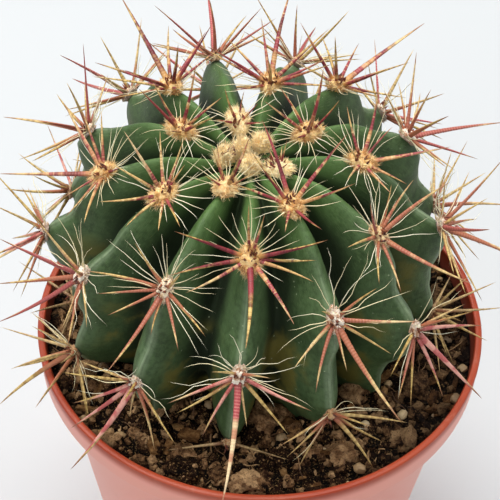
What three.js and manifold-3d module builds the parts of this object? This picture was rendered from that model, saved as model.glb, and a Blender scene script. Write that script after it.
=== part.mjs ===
// A round, ribbed cactus in a plastic pot with a flared collar.
// Millimetres, +Z up. The origin is the middle of the pot's underside.
// The stem's areoles follow one spiral, and each areole is a wool pad with its spines fused to it.

import * as THREE from "three";
import Module from "manifold-3d";
import { mergeVertices } from "three/addons/utils/BufferGeometryUtils.js";

const wasm = await Module();
wasm.setup();

// Pot
const RIM_RADIUS = 52.5;
const POT_HEIGHT = 90;
const WALL = 1.7;
const COLLAR_HEIGHT = 8;
const COLLAR_STEP = 4.7;
const COLLAR_FLARE = 0.5;
const SHOULDER_HEIGHT = 2.2;
const WALL_TAPER = THREE.MathUtils.degToRad(8.5);
const RIM_ROUND = 0.5;
const BASE_PLATE = 2.4;
const FOOT_CHAMFER = 0.8;
const DRAIN_COUNT = 4;
const DRAIN_RADIUS = 4;
const DRAIN_CIRCLE = 21;
const DRAIN_SIDES = 12;
const CHANNEL_WIDTH = 5;
const CHANNEL_DEPTH = 1.2;
const POT_SIDES = 60;

// Soil
const SOIL_BELOW_RIM_AT_WALL = 5;
const SOIL_BELOW_RIM_AT_STEM = 3.6;
const SOIL_FALLS_FROM = 36;
const CRUMB = 0.7;
const CRUMB_AT_EDGE = 0.28;
const CRUMB_RINGS = 4;
const CRUMB_RING_STEP = 3;
const CHIP_COUNT = 16;
const CHIP_SIZE = 2.6;
const CHIP_RISE = 1.2;
const CHIPS_FROM = 38;
const CHIPS_TO = 46.5;
const SOIL_SEED = 2027;

// Stem
const STEM_RADIUS = 45.5;
const STEM_MIDDLE = 22;
const STEM_RISE = 35.1;
const STEM_DROP = 41.5;
const ROUNDNESS = 2.21;
const CROWN_DIP = 7.4;
const CROWN_DIP_RADIUS = 15;
const STEM_SHIFT = new THREE.Vector2(-3.6, 3.7);
const STEM_LEAN = THREE.MathUtils.degToRad(5.3);
const RIB_COUNT = 13;
const RIB_DEPTH = 14.5;
const RIB_DEEPENING = 16;
const RIB_SHARPNESS = [1.2, 1.9];
const SHARPENING = [20, 85];
const CREST_HOLLOW = 3.8;
const HOLLOWING = [15, 80];
const HOLLOW_SKEW = 1.4;
const RIBS_FADE = [126, 150];
const RIB_COLUMNS = 6;
const STEM_ROWS = 28;
const STEM_ROW_END = 152;
const ROOT_RADII = [9, 4];
const ROOT_DROPS = [46, 60];
const ROOT_TIP_DROP = 68;

// Spiral of areoles: one step turns by TURN, moves down the stem by STEP degrees and goes
// RIBS_PER_STEP ribs on, so that STEPS_TO_NEXT_RIB steps end on the rib beside the first.
const RIBS_PER_STEP = 5;
const STEPS_TO_NEXT_RIB = 8;
const FIRST_AREOLE = -14;
const LAST_AREOLE = 28;
const START_AZIMUTH = 1.5;
const TURN = 138.266;
const START_POLAR = 34.7;
const STEP = 3.033;
const CROWN_SPREAD = 10.5;
const TWIST = (360 * RIBS_PER_STEP - RIB_COUNT * TURN) / (RIB_COUNT * STEP);

// Wool pads and spines
const PAD_SIDES = 7;
const CROWN_PAD_SIZE = [2.2, 2.2, 3.2];
const YOUNG_PAD_SIZE = [2.8, 3.9, 2];
const GROWN_PAD_SIZE = [2, 3.3, 1.6];
const OLD_PAD_SIZE = [1.8, 2.4, 1.4];
const OLDEST_CROWN_PAD = -11;
const OLDEST_YOUNG_PAD = 2;
const OLDEST_GROWN_PAD = 17;
const GAP = 0.35;
const CROWN_GAP = 0.6;
const CROWN_GAP_RADIUS = 10;
const SPINE_BASE_WIDTH = 0.3;
const SPINE_WIDTH_PER_LENGTH = 0.041;
const SPINE_TAPER = 0.6;
const STRONG_SPINE = 18;
const SPINE_ROOT_HEIGHT = 0.5;
const SPINE_ROOT_SPREAD = 1.2;
const FIRST_SPINED_AREOLE = -11;
const FULL_GROWN_AREOLE = -5;
const FIRST_GROWTH = 0.2;
const GROWTH_PER_AREOLE = 1 / 7;
const SPINE_SEED = 800679668;

// Room the spines keep to the soil and to the pot's rim
const SOIL_CLEARANCE = 2.1;
const RIM_CLEARANCE_INSIDE = 1.2;
const RIM_CLEARANCE_OUTSIDE = 1.5;

// Tries for a spine that would touch something: turned first, then raised, then shortened
const TURNS = [0, 5, -5, 10, -10, 16, -16, 24, -24];
const RAISES = [0, 4, 8, 14, 20, 28];
const SHORTENINGS = [1, 0.85, 0.7, 0.55];
const CLEARANCE_STEPS = 10;

// Spines of the areoles that face the front, each as clock angle round the pad from the
// crownward side, lift above the skin, and length.
const FRONT_SPINES = {
  "-5": [[75, 35, 18], [5, 32, 18], [290, 35, 14], [118, 30, 14], [180, 25, 13], [215, 22, 11], [330, 48, 14]],
  "-3": [[264, 56, 16], [304, 30, 12.5], [337, 40, 11.5], [239, 28, 12], [193, 25, 13.5], [156, 22, 12.5],
    [124, 20, 11.5], [102, 18, 11.5], [355, 35, 7]],
  "-2": [[84, 38, 16], [50, 33, 11.5], [118, 30, 9.5], [166, 28, 18], [217, 25, 11.5], [240, 22, 12],
    [330, 50, 9], [290, 20, 10]],
  0: [[180, 30, 23], [280, 30, 17], [80, 30, 17], [355, 45, 12], [148, 28, 19], [250, 20, 17],
    [235, 16, 15], [112, 20, 14], [92, 16, 13], [20, 60, 13]],
  2: [[256, 28, 18], [270, 32, 14], [292, 30, 12.5], [190, 25, 22], [148, 20, 9], [122, 18, 13],
    [93, 20, 17], [28, 22, 7]],
  3: [[168, 28, 21], [93, 27, 18], [215, 18, 13], [240, 20, 12], [50, 20, 10], [64, 26, 13],
    [290, 24, 13], [330, 50, 15]],
  5: [[183, 26, 20], [258, 22, 16], [240, 18, 13], [218, 20, 12], [310, 30, 11], [105, 20, 14],
    [133, 20, 13], [165, 20, 9], [30, 55, 13]],
  8: [[100, 30, 17], [165, 30, 24], [135, 20, 13], [247, 22, 14], [218, 22, 15], [186, 25, 10],
    [60, 20, 10], [315, 50, 13]],
  10: [[195, 28, 21], [250, 24, 20], [220, 35, 18], [145, 22, 11], [128, 22, 15], [102, 20, 12],
    [300, 35, 15], [20, 50, 12]],
  13: [[182, 40, 26], [252, 22, 15], [238, 20, 14], [208, 28, 14], [98, 22, 16], [130, 20, 15],
    [163, 28, 10], [320, 45, 12], [40, 45, 12]],
  16: [[115, 24, 18], [92, 18, 13], [158, 30, 26], [178, 25, 18], [215, 20, 16], [240, 18, 15],
    [272, 14, 14], [30, 50, 14]],
  18: [[230, 24, 16], [214, 27, 20], [197, 40, 25], [145, 20, 15], [112, 20, 15], [178, 15, 9],
    [265, 22, 15], [290, 20, 12], [20, 50, 12]],
  21: [[280, 16, 14], [240, 16, 12], [205, 20, 14], [169, 28, 19], [130, 22, 16], [100, 22, 17],
    [20, 45, 13]],
  26: [[207, 6, 18], [150, 6, 18], [180, 12, 11], [260, 12, 13], [100, 12, 13]],
};

// Every other grown areole: angles as above, shifted by chance
const COMMON_SPINES = [[182, 38, 24], [62, 44, 18], [300, 44, 18], [0, 60, 15], [28, 20, 12], [92, 20, 14],
  [125, 18, 15], [152, 24, 16], [212, 24, 16], [250, 20, 15], [276, 18, 13]];
const YOUNG_SPINES = [[20, 62, 18], [140, 62, 20], [260, 62, 18], [80, 45, 13], [200, 45, 14], [320, 45, 13]];
const CLOCK_JITTER = 11;
const LIFT_JITTER = 5;
const LENGTH_JITTER = 0.12;

// A repeatable draw between 0 and 1
let drawState = SOIL_SEED;
function draw() {
  drawState = (drawState * 16807) % 2147483647;
  return drawState / 2147483647;
}

function spread(amount) {
  return (draw() * 2 - 1) * amount;
}

const { clamp, lerp, smoothstep } = THREE.MathUtils;
const sinDeg = (angle) => Math.sin(THREE.MathUtils.degToRad(angle));
const cosDeg = (angle) => Math.cos(THREE.MathUtils.degToRad(angle));

// Solids and joins

function solid(geometry) {
  const bare = geometry.clone();
  bare.deleteAttribute("normal");
  bare.deleteAttribute("uv");
  const merged = mergeVertices(bare, 1e-4);
  const mesh = new wasm.Mesh({
    numProp: 3,
    vertProperties: new Float32Array(merged.attributes.position.array),
    triVerts: new Uint32Array(merged.index.array),
  });
  return new wasm.Manifold(mesh);
}

function largestPiece(joined) {
  const pieces = joined.decompose();
  return pieces.reduce((a, b) => (b.volume() > a.volume() ? b : a));
}

function geometryOf(joined) {
  const mesh = joined.getMesh();
  const geometry = new THREE.BufferGeometry();
  geometry.setAttribute("position", new THREE.BufferAttribute(new Float32Array(mesh.vertProperties), 3));
  geometry.setIndex(new THREE.BufferAttribute(new Uint32Array(mesh.triVerts), 1));
  geometry.computeVertexNormals();
  return geometry;
}

// A closed body from rings of points with one point at each end
function ringBody(startPoint, rings, endPoint) {
  const columns = rings[0].length;
  const points = [startPoint, ...rings.flat(), endPoint];
  const last = points.length - 1;
  const faces = [];
  for (let column = 0; column < columns; column += 1) {
    const next = (column + 1) % columns;
    faces.push(0, 1 + column, 1 + next);
    for (let row = 0; row + 1 < rings.length; row += 1) {
      const here = 1 + row * columns;
      const below = here + columns;
      faces.push(here + column, below + column, below + next);
      faces.push(here + column, below + next, here + next);
    }
    const end = 1 + (rings.length - 1) * columns;
    faces.push(end + column, last, end + next);
  }
  const geometry = new THREE.BufferGeometry();
  geometry.setAttribute("position", new THREE.Float32BufferAttribute(points.flatMap((p) => p.toArray()), 3));
  geometry.setIndex(faces);
  return geometry;
}

// Pot

const wallTopRadius = RIM_RADIUS - COLLAR_STEP;
const shoulderTop = POT_HEIGHT - COLLAR_HEIGHT;
const shoulderBottom = shoulderTop - SHOULDER_HEIGHT;
const baseRadius = wallTopRadius - shoulderBottom * Math.tan(WALL_TAPER);
const innerBaseRadius = baseRadius + BASE_PLATE * Math.tan(WALL_TAPER) - WALL;
const innerRimRadius = RIM_RADIUS - WALL - 0.1;

// The pot's inside from the base plate up, moved in by a gap
function potInside(gap) {
  return [
    [innerBaseRadius - gap, BASE_PLATE + gap],
    [wallTopRadius - WALL - gap, shoulderBottom + WALL / 2],
    [innerRimRadius - COLLAR_FLARE - gap, shoulderTop + WALL / 2],
    [innerRimRadius - gap, POT_HEIGHT - RIM_ROUND],
  ];
}

function potShell() {
  const profile = [
    [0, 0],
    [baseRadius - FOOT_CHAMFER, 0],
    [baseRadius + FOOT_CHAMFER * Math.tan(WALL_TAPER), FOOT_CHAMFER],
    [wallTopRadius, shoulderBottom],
    [RIM_RADIUS - COLLAR_FLARE, shoulderTop],
    [RIM_RADIUS, POT_HEIGHT - RIM_ROUND],
    [RIM_RADIUS - RIM_ROUND, POT_HEIGHT],
    [innerRimRadius + RIM_ROUND, POT_HEIGHT],
    ...potInside(0).reverse(),
    [0, BASE_PLATE],
  ];
  const shell = new THREE.LatheGeometry(profile.map(([r, z]) => new THREE.Vector2(r, z)), POT_SIDES);
  shell.rotateX(Math.PI / 2);
  return solid(shell);
}

function drainCut(index) {
  const hole = new THREE.CylinderGeometry(DRAIN_RADIUS, DRAIN_RADIUS, 4 * BASE_PLATE, DRAIN_SIDES);
  hole.rotateX(Math.PI / 2);
  hole.translate(DRAIN_CIRCLE, 0, 0);
  const reach = RIM_RADIUS - DRAIN_CIRCLE;
  const channel = new THREE.BoxGeometry(reach, CHANNEL_WIDTH, 2 * CHANNEL_DEPTH);
  channel.translate(DRAIN_CIRCLE + reach / 2, 0, 0);
  const angle = ((index + 0.5) * 2 * Math.PI) / DRAIN_COUNT;
  hole.rotateZ(angle);
  channel.rotateZ(angle);
  return solid(hole).add(solid(channel));
}

function potGeometry() {
  let pot = potShell();
  for (let index = 0; index < DRAIN_COUNT; index += 1) {
    pot = pot.subtract(drainCut(index));
  }
  return geometryOf(pot);
}

// Stem: a ribbed body whose crests follow a flattened round outline with a sunken crown

function crestOutline(polar) {
  const sine = Math.abs(sinDeg(polar));
  const cosine = cosDeg(polar);
  const radius = STEM_RADIUS * sine ** (2 / ROUNDNESS);
  const reach = cosine > 0 ? STEM_RISE : STEM_DROP;
  const dip = CROWN_DIP * Math.exp(-((radius / CROWN_DIP_RADIUS) ** 2));
  const height = STEM_MIDDLE + reach * Math.sign(cosine) * Math.abs(cosine) ** (2 / ROUNDNESS);
  return new THREE.Vector2(radius, cosine > 0 ? height - dip : height);
}

function outlineNormal(polar) {
  const ahead = crestOutline(polar + 0.5);
  const behind = crestOutline(Math.max(polar - 0.5, 0.01));
  const along = ahead.sub(behind).normalize();
  return new THREE.Vector2(-along.y, along.x);
}

// The spiral's own polar angle, which runs on evenly through the crown
function spiralPolar(polar) {
  return polar - CROWN_SPREAD ** 2 / (4 * Math.max(polar, 2));
}

function areolePolar(index) {
  const even = START_POLAR + STEP * index;
  return (even + Math.hypot(even, CROWN_SPREAD)) / 2;
}

// 0 on a rib's crest and 1 in the valley beside it
function ribValley(polar, phase) {
  const sharpness = lerp(...RIB_SHARPNESS, smoothstep(polar, ...SHARPENING));
  return 1 - Math.abs(cosDeg(phase / 2)) ** sharpness;
}

// How far the crest sinks between one areole and the next older one
function crestHollow(polar, rib, spiral) {
  const turns = (spiral / STEP - STEPS_TO_NEXT_RIB * rib) / RIB_COUNT;
  const share = turns - Math.floor(turns);
  return CREST_HOLLOW * smoothstep(polar, ...HOLLOWING) * sinDeg(180 * share ** HOLLOW_SKEW) ** 2;
}

// Azimuth 0 faces the front, -Y, and grows toward +X
function stemPoint(polar, ribPhase, outward) {
  const outline = crestOutline(polar);
  const normal = outlineNormal(polar);
  const spiral = spiralPolar(polar) - START_POLAR;
  const azimuth = START_AZIMUTH + ribPhase / RIB_COUNT - TWIST * spiral;
  const rib = Math.round(ribPhase / 360);
  const valley = ribValley(polar, ribPhase - 360 * rib);
  const deepening = 1 - Math.exp(-((outline.x / RIB_DEEPENING) ** 2));
  const fade = 1 - smoothstep(polar, ...RIBS_FADE);
  const sink = RIB_DEPTH * valley + crestHollow(polar, rib, spiral) * (1 - valley);
  const move = outward - sink * deepening * fade;
  const radius = outline.x + normal.x * move;
  const height = outline.y + normal.y * move;
  return new THREE.Vector3(radius * sinDeg(azimuth), -radius * cosDeg(azimuth), height);
}

const stemPlace = new THREE.Matrix4()
  .makeTranslation(STEM_SHIFT.x, STEM_SHIFT.y, POT_HEIGHT + STEM_MIDDLE)
  .multiply(new THREE.Matrix4().makeRotationX(STEM_LEAN))
  .multiply(new THREE.Matrix4().makeTranslation(0, 0, -STEM_MIDDLE));

function stemGeometry(outward) {
  const columns = RIB_COUNT * RIB_COLUMNS;
  const rings = [];
  for (let row = 1; row <= STEM_ROWS; row += 1) {
    const polar = (STEM_ROW_END * row) / STEM_ROWS;
    const ring = [];
    for (let column = 0; column < columns; column += 1) {
      ring.push(stemPoint(polar, (360 * column) / RIB_COLUMNS, outward));
    }
    rings.push(ring);
  }
  ROOT_RADII.forEach((radius, step) => {
    const height = STEM_MIDDLE - ROOT_DROPS[step];
    rings.push(rings[0].map((point) => {
      const across = new THREE.Vector3(point.x, point.y, 0).setLength(radius + outward);
      return across.setZ(height);
    }));
  });
  const top = new THREE.Vector3(0, 0, crestOutline(0).y + outward);
  const bottom = new THREE.Vector3(0, 0, STEM_MIDDLE - ROOT_TIP_DROP - outward);
  const body = ringBody(top, rings, bottom);
  body.applyMatrix4(stemPlace);
  return body;
}

// Soil: a plug that fills the pot, crumbly on top, with a hole of the stem's buried shape

function soilTopHeight(radius) {
  const toWall = smoothstep(radius, SOIL_FALLS_FROM, innerRimRadius);
  return POT_HEIGHT - lerp(SOIL_BELOW_RIM_AT_STEM, SOIL_BELOW_RIM_AT_WALL, toWall);
}

function soilPlug() {
  const side = potInside(GAP);
  const edgeRadius = side[3][0] - COLLAR_FLARE / 2;
  const outline = [];
  for (let ring = CRUMB_RINGS; ring >= 0; ring -= 1) {
    const radius = edgeRadius - CRUMB_RING_STEP * ring;
    outline.push([radius, soilTopHeight(radius), ring ? CRUMB : CRUMB_AT_EDGE]);
  }
  outline.push(...side.slice(0, 3).reverse().map(([radius, height]) => [radius, height, 0]));
  const rings = outline.map(([radius, height, crumb]) => {
    const ring = [];
    for (let column = 0; column < POT_SIDES; column += 1) {
      const angle = (2 * Math.PI * column) / POT_SIDES;
      const rise = spread(crumb);
      ring.push(new THREE.Vector3(radius * Math.sin(angle), -radius * Math.cos(angle), height + rise));
    }
    return ring;
  });
  const top = new THREE.Vector3(0, 0, soilTopHeight(0));
  const bottom = new THREE.Vector3(0, 0, BASE_PLATE + GAP);
  return solid(ringBody(top, rings, bottom));
}

function barkChip() {
  const chip = new THREE.IcosahedronGeometry(1, 0);
  chip.scale(CHIP_SIZE * (0.6 + 0.4 * draw()), CHIP_SIZE * (0.4 + 0.4 * draw()), CHIP_RISE);
  chip.rotateZ(2 * Math.PI * draw());
  const angle = 2 * Math.PI * draw();
  const radius = lerp(CHIPS_FROM, CHIPS_TO, draw());
  chip.translate(radius * Math.sin(angle), -radius * Math.cos(angle), soilTopHeight(radius));
  return solid(chip);
}

function soilGeometry() {
  let soil = soilPlug();
  for (let index = 0; index < CHIP_COUNT; index += 1) {
    soil = soil.add(barkChip());
  }
  return geometryOf(largestPiece(soil.subtract(solid(stemGeometry(GAP)))));
}

// Areoles

function areoleFrame(index) {
  const polar = areolePolar(index);
  const phase = 360 * RIBS_PER_STEP * index;
  const point = stemPoint(polar, phase, 0);
  const crownward = stemPoint(Math.max(polar - 1, 0.2), phase, 0).sub(point).normalize();
  const radial = new THREE.Vector3(point.x, point.y, 0).normalize();
  const outline = outlineNormal(polar);
  const normal = radial.multiplyScalar(outline.x).add(new THREE.Vector3(0, 0, outline.y)).normalize();
  const side = new THREE.Vector3().crossVectors(crownward, normal).normalize();
  const up = new THREE.Vector3().crossVectors(normal, side);
  const gap = GAP + CROWN_GAP * Math.exp(-((crestOutline(polar).x / CROWN_GAP_RADIUS) ** 2));
  point.addScaledVector(normal, gap);
  const place = new THREE.Matrix4().makeBasis(side, up, normal).setPosition(point);
  return place.premultiply(stemPlace);
}

function padSize(index) {
  if (index <= OLDEST_CROWN_PAD) {
    return CROWN_PAD_SIZE;
  }
  if (index <= OLDEST_YOUNG_PAD) {
    return YOUNG_PAD_SIZE;
  }
  return index <= OLDEST_GROWN_PAD ? GROWN_PAD_SIZE : OLD_PAD_SIZE;
}

function areole(index) {
  const place = areoleFrame(index);
  const size = padSize(index);
  return {
    index,
    place,
    size,
    middle: new THREE.Vector3(0, 0, size[2] / 2).applyMatrix4(place),
    reach: Math.max(...size),
    spines: [],
  };
}

function wantedSpines(index) {
  if (index < FIRST_SPINED_AREOLE) {
    return [];
  }
  if (FRONT_SPINES[index]) {
    return FRONT_SPINES[index];
  }
  const young = index < FULL_GROWN_AREOLE;
  const growth = young ? FIRST_GROWTH + GROWTH_PER_AREOLE * (index - FIRST_SPINED_AREOLE) : 1;
  return (young ? YOUNG_SPINES : COMMON_SPINES).map(([clock, lift, length]) => [
    clock + spread(CLOCK_JITTER),
    lift + spread(LIFT_JITTER),
    length * growth * (1 + spread(LENGTH_JITTER)),
  ]);
}

// Spines leaning far out are rooted nearer the pad's edge than the upright ones
function spineAt(place, clock, lift, length, half) {
  const flat = cosDeg(lift);
  const direction = new THREE.Vector3(flat * sinDeg(clock), flat * cosDeg(clock), sinDeg(lift));
  const foot = new THREE.Vector3(direction.x, direction.y, 0).multiplyScalar(SPINE_ROOT_SPREAD);
  foot.z = SPINE_ROOT_HEIGHT;
  return {
    foot: foot.applyMatrix4(place),
    direction: direction.transformDirection(place),
    length,
    half,
  };
}

function halfWidthOf(length) {
  return (SPINE_BASE_WIDTH + SPINE_WIDTH_PER_LENGTH * length) / 2;
}

// Half the width of a spine at a share of its length
function halfWidthAt(spine, share) {
  return spine.half * (1 - SPINE_TAPER * share);
}

// Closest approach of two straight spines, less their half widths there
function spineGap(a, b) {
  const between = new THREE.Vector3().subVectors(a.foot, b.foot);
  const along = a.direction.dot(b.direction);
  const fromA = a.direction.dot(between);
  const fromB = b.direction.dot(between);
  const unlike = 1 - along * along;
  let s = unlike > 1e-9 ? clamp((along * fromB - fromA) / unlike, 0, a.length) : 0;
  let t = clamp(fromB + along * s, 0, b.length);
  s = clamp(along * t - fromA, 0, a.length);
  t = clamp(fromB + along * s, 0, b.length);
  const onA = a.foot.clone().addScaledVector(a.direction, s);
  const onB = b.foot.clone().addScaledVector(b.direction, t);
  return onA.distanceTo(onB) - halfWidthAt(a, s / a.length) - halfWidthAt(b, t / b.length);
}

function distanceToSpine(point, spine) {
  const away = point.clone().sub(spine.foot);
  const along = clamp(away.dot(spine.direction), 0, spine.length);
  return away.addScaledVector(spine.direction, -along).length();
}

const toStem = stemPlace.clone().invert();

// Height of a point above the smooth outline that the rib crests follow
function aboveCrests(point) {
  const local = point.clone().applyMatrix4(toStem);
  const radius = Math.hypot(local.x, local.y);
  const upper = local.z > STEM_MIDDLE;
  const dip = upper ? CROWN_DIP * Math.exp(-((radius / CROWN_DIP_RADIUS) ** 2)) : 0;
  const rise = Math.abs(local.z + dip - STEM_MIDDLE) / (upper ? STEM_RISE : STEM_DROP);
  const size = ((radius / STEM_RADIUS) ** ROUNDNESS + rise ** ROUNDNESS) ** (1 / ROUNDNESS);
  return (size - 1) * STEM_RISE;
}

function clearOfPotAndSoil(point, margin) {
  const radius = Math.hypot(point.x, point.y);
  if (radius < innerRimRadius - RIM_CLEARANCE_INSIDE) {
    return point.z > soilTopHeight(radius) + SOIL_CLEARANCE + margin;
  }
  return radius > RIM_RADIUS + RIM_CLEARANCE_OUTSIDE + margin || point.z > POT_HEIGHT + GAP + margin;
}

function clearOfFixedThings(spine) {
  for (let step = 2; step <= CLEARANCE_STEPS; step += 1) {
    const share = step / CLEARANCE_STEPS;
    const point = spine.foot.clone().addScaledVector(spine.direction, share * spine.length);
    const half = halfWidthAt(spine, share);
    if (aboveCrests(point) < half + GAP || !clearOfPotAndSoil(point, half)) {
      return false;
    }
  }
  return true;
}

function isClear(spine, owner, areoles) {
  if (!clearOfFixedThings(spine)) {
    return false;
  }
  return areoles.every((other) => other === owner
    || (distanceToSpine(other.middle, spine) > other.reach + spine.half + GAP
      && other.spines.every((placed) => spineGap(spine, placed) > GAP)));
}

// Bends a spine step by step until it stands clear, then shortens it
function placeSpine(owner, areoles, [clock, lift, length]) {
  for (const share of SHORTENINGS) {
    for (const raise of RAISES) {
      for (const turn of TURNS) {
        const spine = spineAt(owner.place, clock + turn, lift + raise, length * share, halfWidthOf(length));
        if (isClear(spine, owner, areoles)) {
          return spine;
        }
      }
    }
  }
  return null;
}

function growAreoles() {
  drawState = SPINE_SEED;
  const areoles = [];
  for (let index = FIRST_AREOLE; index <= LAST_AREOLE; index += 1) {
    areoles.push(areole(index));
  }
  for (const owner of areoles) {
    for (const wanted of wantedSpines(owner.index)) {
      const spine = placeSpine(owner, areoles, wanted);
      if (spine) {
        owner.spines.push(spine);
      }
    }
  }
  return areoles;
}

function padGeometry(owner) {
  const profile = [[0, 0], [1, 0], [0.8, 0.7], [0, 1]].map(([r, z]) => new THREE.Vector2(r, z));
  const pad = new THREE.LatheGeometry(profile, PAD_SIDES);
  pad.rotateX(Math.PI / 2);
  pad.scale(...owner.size);
  pad.applyMatrix4(owner.place);
  return pad;
}

// Strong spines are awls with four sides, the others are three-sided points
function spineGeometry(spine) {
  const strong = spine.length >= STRONG_SPINE;
  const profile = strong
    ? [[0, 0], [spine.half, 0], [0.8 * spine.half, 0.6 * spine.length], [0, spine.length]]
    : [[0, 0], [spine.half, 0], [0, spine.length]];
  const needle = new THREE.LatheGeometry(profile.map(([r, z]) => new THREE.Vector2(r, z)), strong ? 4 : 3);
  const turn = new THREE.Quaternion().setFromUnitVectors(new THREE.Vector3(0, 1, 0), spine.direction);
  needle.applyQuaternion(turn);
  needle.translate(...spine.foot.toArray());
  return needle;
}

function areoleGeometry(owner) {
  let joined = solid(padGeometry(owner));
  for (const spine of owner.spines) {
    joined = joined.add(solid(spineGeometry(spine)));
  }
  return geometryOf(largestPiece(joined));
}

// Materials

function potPlastic() {
  return new THREE.MeshStandardMaterial({ color: 0xb85c42, roughness: 0.5, metalness: 0 });
}

function pottingSoil() {
  return new THREE.MeshStandardMaterial({ color: 0x33261e, roughness: 0.95, metalness: 0 });
}

function stemSkin() {
  return new THREE.MeshStandardMaterial({ color: 0x3d5a42, roughness: 0.5, metalness: 0 });
}

// Cream wool in the crown, red spines on the grown areoles, tan near the soil
function spineHorn(index) {
  const age = (index - FIRST_AREOLE) / (LAST_AREOLE - FIRST_AREOLE);
  const cream = new THREE.Color(0xdcb985);
  const red = new THREE.Color(0xb5685c);
  const tan = new THREE.Color(0xa58a63);
  const color = age < 0.25 ? cream.lerp(red, age / 0.25) : red.lerp(tan, (age - 0.25) / 0.75);
  return new THREE.MeshStandardMaterial({ color, roughness: 0.6, metalness: 0 });
}

function named(name, geometry, material) {
  const mesh = new THREE.Mesh(geometry, material);
  mesh.name = name;
  return mesh;
}

const pottedCactus = new THREE.Group();
pottedCactus.add(named("pot", potGeometry(), potPlastic()));
pottedCactus.add(named("soil", soilGeometry(), pottingSoil()));
pottedCactus.add(named("stem", stemGeometry(0), stemSkin()));
for (const owner of growAreoles()) {
  const number = String(owner.index - FIRST_AREOLE + 1).padStart(2, "0");
  pottedCactus.add(named(`areole_${number}`, areoleGeometry(owner), spineHorn(owner.index)));
}

export default pottedCactus;
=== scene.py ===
"""A potted round cactus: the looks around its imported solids.
Lengths are millimetres until a mesh is placed, and metres in Blender. +Z is up, and -Y faces the front.
"""
import math
import random

import bpy
import numpy as np
from mathutils import Matrix, Vector, noise


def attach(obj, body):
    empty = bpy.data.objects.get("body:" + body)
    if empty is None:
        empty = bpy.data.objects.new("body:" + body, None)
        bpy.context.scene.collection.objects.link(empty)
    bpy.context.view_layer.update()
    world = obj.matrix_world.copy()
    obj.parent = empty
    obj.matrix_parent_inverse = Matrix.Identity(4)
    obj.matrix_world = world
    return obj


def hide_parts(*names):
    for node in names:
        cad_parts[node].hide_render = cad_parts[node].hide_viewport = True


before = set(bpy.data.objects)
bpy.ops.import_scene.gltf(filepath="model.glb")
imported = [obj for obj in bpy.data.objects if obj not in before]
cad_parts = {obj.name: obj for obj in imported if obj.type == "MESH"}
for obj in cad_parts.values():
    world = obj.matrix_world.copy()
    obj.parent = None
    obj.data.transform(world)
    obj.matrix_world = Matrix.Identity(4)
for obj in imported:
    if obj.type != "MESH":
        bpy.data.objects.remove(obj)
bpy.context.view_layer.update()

MM = 0.001

# Pot
RIM_RADIUS = 52.5
POT_HEIGHT = 90
WALL = 1.7
COLLAR_HEIGHT = 8
COLLAR_STEP = 4.7
COLLAR_FLARE = 0.5
SHOULDER_HEIGHT = 2.2
WALL_TAPER = math.tan(math.radians(8.5))
BASE_PLATE = 2.4
FOOT_CHAMFER = 0.8
DRAIN_COUNT = 4
DRAIN_RADIUS = 4
DRAIN_CIRCLE = 21
CHANNEL_WIDTH = 5
CHANNEL_DEPTH = 1.2
POT_SIDES = 160

# Soil
SOIL_BELOW_RIM_AT_WALL = 5
SOIL_BELOW_RIM_AT_STEM = 3.6
# Painted shade on the soil: a band along the wall, by distance from the axis, and a darker right side, by X
SOIL_SHADE_BY_WALL = (46.5, 49.8)
SOIL_SHADE_ON_RIGHT = (12, 38)
GAP = 0.35

# Stem
STEM_RADIUS = 45.5
STEM_MIDDLE = 22
STEM_RISE = 35.1
STEM_DROP = 41.5
ROUNDNESS = 2.21
CROWN_DIP = 7.4
CROWN_DIP_RADIUS = 15
STEM_SHIFT = (-3.6, 3.7)
STEM_LEAN = math.radians(5.3)
RIB_COUNT = 13
RIB_DEPTH = 14.5
RIB_DEEPENING = 16
RIB_SHARPNESS = (1.2, 1.9)
SHARPENING = (20, 85)
CREST_HOLLOW = 3.8
HOLLOWING = (15, 80)
HOLLOW_SKEW = 1.4
RIBS_FADE = (126, 150)
STEM_ROW_END = 152
ROOT_RINGS = ((9, 46), (4, 60))
ROOT_TIP_DROP = 68
RIB_COLUMNS = 28
STEM_ROWS = 130
COLUMN_CROWDING = 1.35
KEEL = 0.45
KEEL_PHASE = 4
KEEL_FROM = (38, 70)
SKIN_DENTS = 0.45

# Spiral of areoles
RIBS_PER_STEP = 5
STEPS_TO_NEXT_RIB = 8
FIRST_AREOLE = -14
LAST_AREOLE = 28
START_AZIMUTH = 1.5
TURN = 138.266
START_POLAR = 34.7
STEP = 3.033
CROWN_SPREAD = 10.5
TWIST = (360 * RIBS_PER_STEP - RIB_COUNT * TURN) / (RIB_COUNT * STEP)

# Wool pads and spines
CROWN_PAD_SIZE = (2.2, 2.2, 3.2)
YOUNG_PAD_SIZE = (2.8, 3.9, 2.0)
GROWN_PAD_SIZE = (2.0, 3.3, 1.6)
OLD_PAD_SIZE = (1.8, 2.4, 1.4)
OLDEST_CROWN_PAD = -11
OLDEST_YOUNG_PAD = 2
OLDEST_GROWN_PAD = 17
CROWN_GAP = 0.6
SPINE_BASE_WIDTH = 0.3
SPINE_WIDTH_PER_LENGTH = 0.041
SPINE_ROOT_HEIGHT = 0.5
SPINE_ROOT_SPREAD = 1.2
STRONG_SPINE = 18
FIRST_SPINED_AREOLE = -11
FULL_GROWN_AREOLE = -5
FIRST_GROWTH = 0.2
GROWTH_PER_AREOLE = 1 / 7
SOIL_CLEARANCE = 2.1
BRISTLED_AREOLES = range(-9, 24)
LAST_WOOLLY_AREOLE = -10
LAST_RED_AREOLE = 19
SPINE_SEED = 800679668
CLOCK_JITTER = 11
LIFT_JITTER = 5
LENGTH_JITTER = 0.12

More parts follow.
